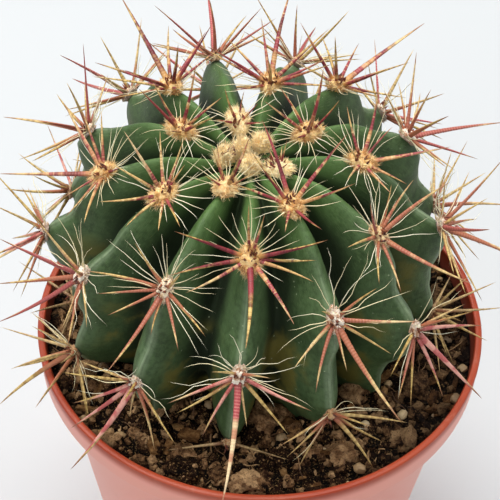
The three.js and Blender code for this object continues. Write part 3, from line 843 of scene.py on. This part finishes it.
def is_clear(spine, pads, others):
    if not clear_of_fixed_things(spine):
        return False
    middles, reaches = pads
    away = middles - spine["foot"]
    along = np.clip(away @ spine["direction"], 0, spine["length"])
    distance = np.linalg.norm(away - along[:, None] * spine["direction"], axis=1)
    return bool(np.all(distance > reaches + spine["half"] + GAP)
                and (len(others[0]) == 0 or np.all(spine_gaps(spine, others) > GAP)))


def spine_list(spines):
    return [np.array([spine[key] for spine in spines]) for key in ("foot", "direction", "length", "half")]


def placed_spine(place, pads, others, wish):
    """Bends a spine step by step until it stands clear, then shortens it"""
    clock, lift, length, *colour = wish
    half = (SPINE_BASE_WIDTH + SPINE_WIDTH_PER_LENGTH * length) / 2
    for share in (1, 0.85, 0.7, 0.55):
        for more in (0, 4, 8, 14, 20, 28):
            for turn in (0, 5, -5, 10, -10, 16, -16, 24, -24):
                spine = spine_at(place, clock + turn, lift + more, length * share, half)
                if is_clear(spine, pads, others):
                    return spine | {"colour": colour}
    return None


def grow_spines():
    """Every areole's place and its spines, as in the solids"""
    indices = range(FIRST_AREOLE, LAST_AREOLE + 1)
    places = {index: areole_frame(index) for index in indices}
    sizes = {index: pad_size(index) for index in indices}
    middles = {index: placed(places[index], (0, 0, sizes[index][2] / 2)) for index in indices}
    spines = {index: [] for index in indices}
    for index in indices:
        rest = [other for other in indices if other != index]
        pads = np.array([middles[other] for other in rest]), np.array([max(sizes[other]) for other in rest])
        others = spine_list([spine for other in rest for spine in spines[other]])
        for wish in wanted_spines(index):
            spine = placed_spine(places[index], pads, others, wish)
            if spine:
                spines[index].append(spine)
    return places, sizes, spines


# Models that are copied for the areoles

def drawn_rod(name, sides, profile):
    """A rod along +Z, one unit long and one wide in radius, that ends in a point"""
    rod = drawn_up(name, [(radius, height) for height, radius in profile], sides)
    bpy.ops.object.mode_set(mode="EDIT")
    bpy.ops.mesh.merge(type="CENTER")
    bpy.ops.object.mode_set(mode="OBJECT")
    points = points_of(rod)
    mark(rod, along=points[:, 2], girth=points[:, 0] / np.maximum(off_axis(points), 1e-6))
    return rod


def spine_model(name, sides, rows, ring=0.0):
    """A steady taper that ends in a fine tip; ring swells every second row"""
    profile = []
    for row in range(rows + 1):
        radius = 1.06 * (1 - row / rows) ** 0.72 + 0.02
        profile.append((row / rows, radius * (1 + ring * (-1) ** row)))
    model = drawn_rod(name, sides, profile)
    smooth(model)
    return model


def thread_model(name, sides, narrowing):
    model = drawn_rod(name, sides, [(row / 6, 1.0 - narrowing * row / 6) for row in range(7)])
    smooth(model)
    return model


def facing(direction):
    """A turn that takes +Z to a direction"""
    return np.array(Vector(direction).to_track_quat("Z", "Y").to_matrix())


def wool_model(seed, locks, hairs, length, upright, lumps, lock_width=0.09):
    """A felted pad one unit wide and high, narrower crownward, with locks and hairs standing from it"""
    rng = random.Random(seed)
    pad = added("wool_model", bpy.ops.mesh.primitive_uv_sphere_add, segments=24, ring_count=14, radius=1)
    points = points_of(pad)
    for point in points:
        spot = Vector(point * 2.6) + Vector((0, 7 * seed, 0))
        point *= 0.88 + lumps * (noise.noise(spot) + 0.4 * noise.noise(spot * 2.5))
    low = points[:, 2] < 0
    points[low, 2] *= 0.42
    points[:, 0] *= teardrop(points[:, 1])
    put_points(pad, points)
    mark(pad, along=0.5 * np.clip(points[:, 2], 0, 1))
    smooth(pad)
    lock = drawn_rod("lock_model", 5, [(0, 0.8), (0.2, 1.0), (0.5, 0.8), (0.8, 0.4), (1, 0.1)])
    smooth(lock)
    hair = drawn_rod("hair_model", 3, [(0, 1.0), (0.5, 0.75), (1, 0.15)])
    parts = [pad]
    for number in range(locks + hairs):
        azimuth = rng.uniform(0, 2 * math.pi)
        height = rng.uniform(-0.15, 1)
        level = math.cos(math.asin(height))
        out = np.array((level * math.cos(azimuth), level * math.sin(azimuth), height))
        lean = np.array([rng.gauss(0, 0.5) for _ in range(3)]) + (0, 0, upright)
        thin = number >= locks
        strand = copy_of(hair if thin else lock)
        width = 0.02 if thin else rng.uniform(0.6, 1.2) * lock_width
        reach = length * (rng.uniform(0.6, 1.3) if thin else rng.uniform(0.4, 0.8))
        bent = points_of(strand)
        bow = bent[:, 2] ** 2
        bent = bent * (width, width, reach)
        bent[:, 0] += bow * reach * rng.uniform(-0.6, 0.6)
        bent = bent @ facing(out + lean).T + out * 0.8
        bent[:, 0] *= teardrop(bent[:, 1])
        put_points(strand, bent)
        parts.append(strand)
    wool = joined("wool_model", parts)
    drop(hair, lock)
    return wool


def teardrop(along_rib):
    """How much narrower a pad gets toward the crown"""
    return 1 - 0.42 * np.clip(along_rib, 0, 1.2) ** 1.4


def laid(model, foot, turn, length, half, flat=1, bow=0, wave=0, roll=0):
    """A copy of a unit rod, sized, bowed and waved, then turned and put on its foot"""
    rod = copy_of(model)
    points = points_of(rod)
    share = points[:, 2]
    out = points * (half, half * flat, length)
    out[:, 0] += length * bow * 4 * share * (1 - share)
    out[:, 1] += length * wave * np.sin(2 * np.pi * share * 1.4 + roll) * share * (1 - share) * 3
    cosine, sine = math.cos(roll), math.sin(roll)
    out[:, :2] = out[:, :2] @ np.array([[cosine, sine], [-sine, cosine]])
    put_points(rod, out @ turn.T + foot)
    return rod


def bristle_wishes(index, rng):
    """Clock angle, lift and length of the bristles round a pad's crownward side and flanks"""
    if index not in BRISTLED_AREOLES:
        return []
    young = index < FULL_GROWN_AREOLE
    count = rng.randint(6, 9) if index > 13 else rng.randint(13, 17) if index > 5 else rng.randint(16, 21)
    wishes = []
    for number in range(count):
        share = (number + rng.uniform(0.1, 0.9)) / count
        clock = 256 * share - 128
        lift = rng.uniform(12, 34) if abs(clock) < 60 else rng.uniform(8, 26)
        length = rng.uniform(5, 9) if young else rng.uniform(6.5, 12) if index < 5 else rng.uniform(8, 16)
        wishes.append((clock, lift, length))
    return wishes


def across(direction, normal):
    """A turn that takes +Z to a direction, with +X level with the skin"""
    side = np.cross(direction, normal)
    side /= np.linalg.norm(side)
    return np.stack([side, np.cross(direction, side), direction], -1)


def make_areole(index, models, place, size, spines, finishes):
    rng = random.Random(3000 + index)
    age = (index - FIRST_AREOLE) / (LAST_AREOLE - FIRST_AREOLE)
    kind = "tufts" if index <= OLDEST_CROWN_PAD else "pads" if index <= OLDEST_YOUNG_PAD else "worn_pads"
    pad = copy_of(rng.choice(models[kind]))
    flip = rng.choice((-1, 1))
    put_points(pad, placed(place, points_of(pad) * size * (flip, 1, 1) * (1.0 if age < 0.7 else 0.92)))
    if flip < 0:
        pad.data.flip_normals()
    parts = [(pad, "wool")]
    for spine in spines:
        strong = spine["length"] >= STRONG_SPINE
        flat = rng.uniform(0.55, 0.7) if strong else rng.uniform(0.75, 0.95)
        tone = rng.uniform(*((0.0, 0.5) if strong else (0.1, 0.75) if age < 0.5 else (0.35, 1.0)))
        ringed = rng.random() ** 2 * (1 if strong and age > 0.4 else 0.35)
        tone, ringed = spine["colour"] or (tone + max(age - 0.62, 0), ringed)
        bow = rng.uniform(-0.035, 0.035)
        wide = spine["half"] * (1.12 if strong else 1.05)
        horn = laid(models["ringed" if strong else "plain"], spine["foot"],
                    across(spine["direction"], place[:3, 2]), spine["length"], wide, flat, bow)
        run = np.empty(len(horn.data.vertices), np.float32)
        horn.data.attributes["along"].data.foreach_get("value", run)
        mark(horn, run=run * spine["length"], tone=tone, ringed=ringed)
        parts.append((horn, "horn"))
    for clock, lift, length in bristle_wishes(index, rng):
        direction = place[:3, :3] @ local_direction(clock, lift)
        foot = placed(place, (*(local_direction(clock, 0)[:2] * np.array(size[:2]) * 0.75), 0.5))
        limp = 1.8 if index > 7 else 1
        bristle = laid(models["bristle"], foot, facing(direction), length, half=rng.uniform(0.11, 0.15),
                       bow=rng.uniform(-0.1, 0.1) * limp, wave=rng.uniform(-0.03, 0.03) * limp ** 1.5,
                       roll=rng.uniform(0, 6.28))
        mark(bristle, tone=rng.random())
        parts.append((bristle, "bristle"))
    for _ in range(rng.randint(8, 12) if spines and age < 0.45 else rng.randint(4, 6) if spines else 0):
        direction = place[:3, :3] @ local_direction(rng.uniform(0, 360), rng.uniform(50, 85))
        foot = placed(place, (rng.uniform(-1.3, 1.3), rng.uniform(-1.4, 1.9), size[2] * 0.72))
        bud = laid(models["bud"], foot, facing(direction), rng.uniform(0.9, 1.9), rng.uniform(0.22, 0.34))
        parts.append((bud, "bud"))
    for part, coat in parts:
        part.data.materials.append(finishes[coat])
        missing = [name for name in ("run", "girth", "tone", "ringed") if name not in part.data.attributes]
        mark(part, age=age, **dict.fromkeys(missing, 0.5))
    number = f"{index - FIRST_AREOLE + 1:02d}"
    piece = place_in_metres(joined(f"spined_areole_{number}", [part for part, coat in parts]))
    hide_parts(f"areole_{number}")
    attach(piece, "root")
    ("crown_wool" if index <= LAST_WOOLLY_AREOLE
            else "red_spines" if index <= LAST_RED_AREOLE else "tan_spines")


def make_areoles():
    models = {
        "pads": [wool_model(seed, locks=70, hairs=420, length=0.45, upright=0.1, lumps=0.3)
                 for seed in (1, 2, 3)],
        "worn_pads": [wool_model(seed, locks=75, hairs=110, length=0.4, upright=0.0, lumps=0.5)
                      for seed in (4, 5, 6)],
        "tufts": [wool_model(seed, locks=90, hairs=560, length=0.75, upright=0.4, lumps=0.55, lock_width=0.1)
                  for seed in (7, 8, 9)],
        "ringed": spine_model("ringed_spine", 7, 34, 0.035),
        "plain": spine_model("plain_spine", 6, 8),
        "bristle": thread_model("bristle_model", 3, 0.8),
        "bud": spine_model("bud_model", 5, 4),
    }
    finishes = {"wool": felt_finish(), "horn": horn_finish(), "bristle": bristle_finish(),
                "bud": bud_finish()}
    places, sizes, spines = grow_spines()
    for index in places:
        make_areole(index, models, places[index], sizes[index], spines[index], finishes)
    for model in models.values():
        drop(*(model if isinstance(model, list) else [model]))


# Pot

WALL_TOP_RADIUS = RIM_RADIUS - COLLAR_STEP
SHOULDER_TOP = POT_HEIGHT - COLLAR_HEIGHT
SHOULDER_BOTTOM = SHOULDER_TOP - SHOULDER_HEIGHT
BASE_RADIUS = WALL_TOP_RADIUS - SHOULDER_BOTTOM * WALL_TAPER
INNER_BASE_RADIUS = BASE_RADIUS + BASE_PLATE * WALL_TAPER - WALL


def rounded(corners, reach):
    """A profile whose inner corners are cut by short arcs"""
    out = [corners[0]]
    for before, corner, after in zip(corners, corners[1:], corners[2:]):
        corner = np.array(corner)
        first, last = (corner + side * min(reach / np.linalg.norm(side), 0.45)
                       for side in (before - corner, after - corner))
        for step in range(4):
            share = step / 3
            out.append(tuple((1 - share) ** 2 * first + 2 * share * (1 - share) * corner + share ** 2 * last))
    return out + [corners[-1]]


def make_pot():
    outside = [(BASE_RADIUS - FOOT_CHAMFER, 0), (BASE_RADIUS, FOOT_CHAMFER),
               (WALL_TOP_RADIUS, SHOULDER_BOTTOM), (RIM_RADIUS - COLLAR_FLARE, SHOULDER_TOP),
               (RIM_RADIUS, POT_HEIGHT), (INNER_RIM_RADIUS, POT_HEIGHT)]
    inside = [(INNER_RIM_RADIUS - COLLAR_FLARE, SHOULDER_TOP + WALL / 2),
              (WALL_TOP_RADIUS - WALL, SHOULDER_BOTTOM + WALL / 2), (INNER_BASE_RADIUS, BASE_PLATE),
              (INNER_BASE_RADIUS - 4, BASE_PLATE)]
    profile = rounded(outside + inside, 0.75)
    pot = drawn_up("flower_pot", profile, POT_SIDES)
    for index in range(DRAIN_COUNT):
        angle = (index + 0.5) * 2 * math.pi / DRAIN_COUNT
        way = Vector((math.cos(angle), math.sin(angle), 0))
        cut(pot, added("drain", bpy.ops.mesh.primitive_cylinder_add, vertices=32, radius=DRAIN_RADIUS,
                       depth=4 * BASE_PLATE, location=way * DRAIN_CIRCLE))
        reach = RIM_RADIUS - DRAIN_CIRCLE
        cut(pot, added("channel", bpy.ops.mesh.primitive_cube_add, size=1, rotation=(0, 0, angle),
                       scale=(reach, CHANNEL_WIDTH, 2 * CHANNEL_DEPTH),
                       location=way * (DRAIN_CIRCLE + reach / 2)))
    smooth(place_in_metres(pot), 30)
    pot.data.materials.append(plastic_finish())
    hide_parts("pot")
    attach(pot, "root")


# Soil

SOIL_RINGS = 40
SOIL_SIDES = 360


def soil_bumps(x, y):
    spot = Vector((x * 0.3, y * 0.3, 3.1))
    clod = noise.noise(spot) + 0.5 * noise.noise(spot * 2.7)
    crumb = 1 - noise.voronoi(Vector((x * 0.5, y * 0.5, 0.5)))[0][0]
    return 1.3 * clod + 1.3 * (crumb - 0.65)


def soil_height(x, y):
    radius = math.hypot(x, y)
    edge = 1 - smoothstep(radius, INNER_RIM_RADIUS - 2.5, INNER_RIM_RADIUS)
    return float(soil_top_height(radius) + soil_bumps(x, y) * (0.25 + 0.75 * edge))


def make_soil():
    top_radius = INNER_RIM_RADIUS - 0.2
    profile = [(INNER_BASE_RADIUS - GAP, BASE_PLATE + GAP),
               (WALL_TOP_RADIUS - WALL - GAP, SHOULDER_BOTTOM + WALL / 2),
               (INNER_RIM_RADIUS - COLLAR_FLARE - GAP, SHOULDER_TOP + WALL / 2),
               (top_radius - 0.3, POT_HEIGHT - SOIL_BELOW_RIM_AT_WALL)]
    soil = drawn_up("potting_soil", profile, SOIL_SIDES)
    select_only(soil)
    bpy.ops.object.mode_set(mode="EDIT")
    for ring in range(SOIL_RINGS):
        bpy.ops.mesh.inset(thickness=0.75, depth=0)
    bpy.ops.object.mode_set(mode="OBJECT")
    points = points_of(soil)
    top = points[:, 2] > POT_HEIGHT - SOIL_BELOW_RIM_AT_WALL - 0.01
    bumps = np.zeros(len(points))
    for number in np.nonzero(top)[0]:
        x, y = points[number, :2]
        bumps[number] = soil_bumps(x, y)
        points[number, 2] = soil_height(x, y)
    put_points(soil, points * MM)
    # The tone follows the bumps, so the peat finish paints the low gaps near black as painted shade
    mark(soil, tone=np.clip(0.2 + 0.35 * bumps, 0, 1))
    smooth(soil)
    soil.data.materials.append(soil_finish())
    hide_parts("soil")
    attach(soil, "root")


def stem_edge(stem):
    """The stem's radius from its own axis at soil level, by azimuth, for placing crumbs round it"""
    points = points_of(stem) / MM
    level = points[np.abs(points[:, 2] - (POT_HEIGHT - SOIL_BELOW_RIM_AT_STEM)) < 1.2]
    azimuth = np.arctan2(level[:, 0], -level[:, 1])
    order = np.argsort(azimuth)
    return azimuth[order], off_axis(level)[order]


def soil_spot(rng, nearest, farthest):
    """A random place on the soil: azimuth, radius, x and y"""
    azimuth = rng.uniform(-math.pi, math.pi)
    radius = math.sqrt(rng.uniform(nearest ** 2, farthest ** 2))
    return azimuth, radius, radius * math.sin(azimuth), -radius * math.cos(azimuth)


def lump_model(seed, size, cuts, rough, round_off):
    """A broken lump: a cube rounded off, then pushed in and out by coarse and fine noise"""
    lump = added("lump_model", bpy.ops.mesh.primitive_cube_add, size=2)
    bpy.ops.object.mode_set(mode="EDIT")
    bpy.ops.mesh.select_all(action="SELECT")
    bpy.ops.mesh.subdivide(number_cuts=cuts)
    bpy.ops.transform.tosphere(value=round_off)
    bpy.ops.object.mode_set(mode="OBJECT")
    points = points_of(lump)
    for point in points:
        spot = Vector(point * 1.3) + Vector((9 * seed, 0, 0))
        dents = noise.noise(spot) + 0.5 * noise.noise(spot * 2.6) + 0.25 * noise.noise(spot * 6)
        point *= 1 + rough * dents
    put_points(lump, points * size)
    return lump


def scattered(name, models, finish, edge, seed, count, sizes, sink, tilt=0.6):
    """Copies of lumps laid on the soil between the stem and the pot's wall"""
    rng = random.Random(seed)
    parts = []
    while len(parts) < count:
        azimuth, radius, x, y = soil_spot(rng, 24, INNER_RIM_RADIUS - 1)
        scale = sizes[0] + (sizes[1] - sizes[0]) * rng.random() ** 2
        if radius < np.interp(azimuth, *edge) + 0.3 * scale or radius > INNER_RIM_RADIUS - 0.9 * scale:
            continue
        turn = (Matrix.Rotation(rng.uniform(0, 6.28), 4, "Z")
                @ Matrix.Rotation(rng.uniform(-tilt, tilt), 4, "X")
                @ Matrix.Rotation(rng.uniform(-tilt, tilt), 4, "Y"))
        place = Matrix.Translation((x, y, soil_height(x, y) + scale * sink)) @ turn @ Matrix.Scale(scale, 4)
        part = copy_of(rng.choice(models))
        put_points(part, placed(np.array(place), points_of(part)))
        mark(part, tone=rng.random())
        parts.append(part)
    piece = place_in_metres(joined(name, parts))
    drop(*models)
    smooth(piece, 40)
    piece.data.materials.append(finish)
    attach(piece, "root")


def make_soil_bits(edge):
    """Each kind of bit: a few lumps of its own, many times over"""
    crumbs = [lump_model(seed, (1, width, 0.8), cuts=1, rough=0.7, round_off=0.6)
              for seed, width in enumerate((0.6, 0.75, 0.9, 1.0, 0.7))]
    scattered("peat_crumbs", crumbs, soil_finish(), edge, seed=21, count=2600, sizes=(0.2, 1.2), sink=0.2)
    clods = [lump_model(seed, (1, width, 0.8), cuts=7, rough=0.42, round_off=0.8)
             for seed, width in enumerate((0.65, 0.8, 0.95, 0.7, 0.85), 30)]
    scattered("peat_clods", clods, soil_finish(), edge, seed=25, count=130, sizes=(0.9, 3.2), sink=0.05)
    slivers = ((1, 0.5, 0.3), (1, 0.3, 0.22), (1, 0.55, 0.3), (1, 0.22, 0.22))
    chips = [lump_model(seed, size, cuts=2, rough=0.3, round_off=0.2)
             for seed, size in enumerate(slivers, 10)]
    scattered("bark_chips", chips, bark_finish(), edge, seed=22, count=130, sizes=(0.6, 2.6), sink=0.3,
              tilt=0.7)
    pebbles = ((1, 0.8, 0.7), (1, 0.9, 0.75), (1, 0.7, 0.6))
    stones = [lump_model(seed, size, cuts=2, rough=0.2, round_off=0.9)
              for seed, size in enumerate(pebbles, 20)]
    scattered("grit_stones", stones, stone_finish(), edge, seed=23, count=70, sizes=(0.3, 1.3), sink=0.45)


def make_fibres(edge):
    """Fine roots and peat fibres lying over the crumbs"""
    rng = random.Random(24)
    model = thread_model("fibre_model", 4, 0.4)
    parts = []
    while len(parts) < 110:
        azimuth, radius, x, y = soil_spot(rng, 26, INNER_RIM_RADIUS - 4)
        if radius < np.interp(azimuth, *edge) + 1:
            continue
        length = rng.uniform(3, 10)
        way = rng.uniform(0, 2 * math.pi)
        direction = Vector((math.cos(way), math.sin(way), rng.uniform(-0.12, 0.3))).normalized()
        if off_axis(np.array((x, y, 0)) + np.array(direction) * length) > INNER_RIM_RADIUS - 0.8:
            continue
        foot = (x, y, soil_height(x, y) + 0.5)
        fibre = laid(model, foot, facing(direction), length, half=rng.uniform(0.1, 0.24),
                     bow=rng.uniform(-0.15, 0.15), wave=rng.uniform(-0.08, 0.08), roll=rng.uniform(0, 6.28))
        mark(fibre, tone=rng.random())
        parts.append(fibre)
    drop(model)
    piece = place_in_metres(joined("root_fibres", parts))
    piece.data.materials.append(fibre_finish())
    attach(piece, "root")


# Floor, light and camera

def make_stage():
    floor = added("pale_floor", bpy.ops.mesh.primitive_plane_add, size=6)
    floor.data.materials.append(floor_finish())


def area_light(name, place, size, power, colour):
    """A square softbox turned to the plant"""
    bpy.ops.object.light_add(type="AREA", location=place)
    lamp = bpy.context.active_object
    lamp.name = name
    lamp.data.size = size
    lamp.data.energy = power
    lamp.data.color = colour
    lamp.rotation_euler = (Vector((0, 0, 0.1)) - Vector(place)).to_track_quat("-Z", "Y").to_euler()


def light_studio():
    world = bpy.data.worlds.new("pale_studio")
    world.use_nodes = True
    sky = world.node_tree.nodes["Background"].inputs
    sky["Color"].default_value = (0.96, 0.97, 1.0, 1)
    sky["Strength"].default_value = 0.36
    bpy.context.scene.world = world
    area_light("overhead_softbox", (-0.2, 0.3, 1.3), 0.9, 22, (1, 0.98, 0.95))
    area_light("left_window", (-1.3, -2.8, 2.9), 2.6, 47, (0.98, 0.98, 1))
    area_light("right_fill", (2.7, 0.4, 1.8), 1.6, 22, (1, 0.99, 0.97))
    bpy.context.scene.view_settings.view_transform = "Standard"
    bpy.context.scene.view_settings.look = "None"


def aim_camera():
    turn = Matrix.Rotation(math.pi / 2 - CAMERA_ELEVATION, 3, "X") @ Matrix.Rotation(CAMERA_ROLL, 3, "Z")
    place = Vector(CAMERA_TARGET) + turn @ Vector((0, 0, CAMERA_DISTANCE))
    bpy.ops.object.camera_add(location=place * MM, rotation=turn.to_euler())
    camera = bpy.context.active_object
    camera.data.sensor_width = 36
    camera.data.lens = CAMERA_LENS
    camera.data.clip_start = 0.01
    camera.data.clip_end = 20
    bpy.context.scene.camera = camera


make_pot()
make_soil()
soil_line = stem_edge(make_stem())
make_soil_bits(soil_line)
make_fibres(soil_line)
make_areoles()
make_stage()
light_studio()
aim_camera()
